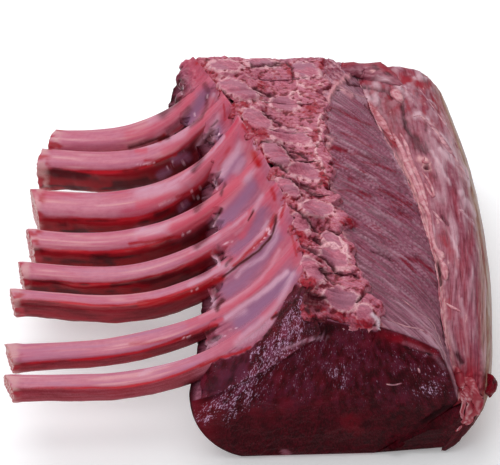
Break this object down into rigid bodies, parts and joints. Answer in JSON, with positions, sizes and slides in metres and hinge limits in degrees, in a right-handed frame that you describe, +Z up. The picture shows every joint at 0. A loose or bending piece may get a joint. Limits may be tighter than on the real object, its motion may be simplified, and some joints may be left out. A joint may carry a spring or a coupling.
{
  "type": "venison rack",
  "caption": "Raw frenched venison rack lying on its outer side, with bare rib bones, sawn vertebrae, a dark eye of loin and a thin cap along the back.",
  "frame": {"origin": "middle of the underside, on the table", "axes": "+Y along the spine from the loin end to the shoulder end, +X across the rack from the bare bone ends to the back, +Z up"},
  "size_m": [0.2366, 0.2406, 0.0864],
  "materials": {
    "loin_muscle": "wet dark maroon cut muscle",
    "cap_muscle": "moist mauve muscle under silvery skin",
    "back_fat": "tan fat and skin, streaked",
    "seam_fat": "moist cream and pink fat",
    "rib_bone": "scraped bone with moist pink skin",
    "sawn_bone": "sawn porous bone, pink and grey",
    "rib_lining": "shiny mauve lining over thin muscle"
  },
  "bodies": {
    "root": {"loin": "loin_muscle", "side_muscle": "loin_muscle", "cap": "cap_muscle", "back_fat": "back_fat", "seam_fat": "seam_fat", "tag": "loin_muscle", "rib_1": "rib_bone", "rib_2": "rib_bone", "rib_3": "rib_bone", "rib_4": "rib_bone", "rib_5": "rib_bone", "rib_6": "rib_bone", "rib_7": "rib_bone", "rib_8": "rib_bone", "chine_1": "sawn_bone", "chine_2": "sawn_bone", "chine_3": "sawn_bone", "chine_4": "sawn_bone", "chine_5": "sawn_bone", "chine_6": "sawn_bone", "chine_7": "sawn_bone", "chine_8": "sawn_bone", "between_1": "rib_lining", "between_2": "rib_lining", "between_3": "rib_lining", "between_4": "rib_lining", "between_5": "rib_lining", "between_6": "rib_lining", "between_7": "rib_lining", "between_8": "loin_muscle", "shoulder_end": "rib_lining"}
  },
  "joints": []
}
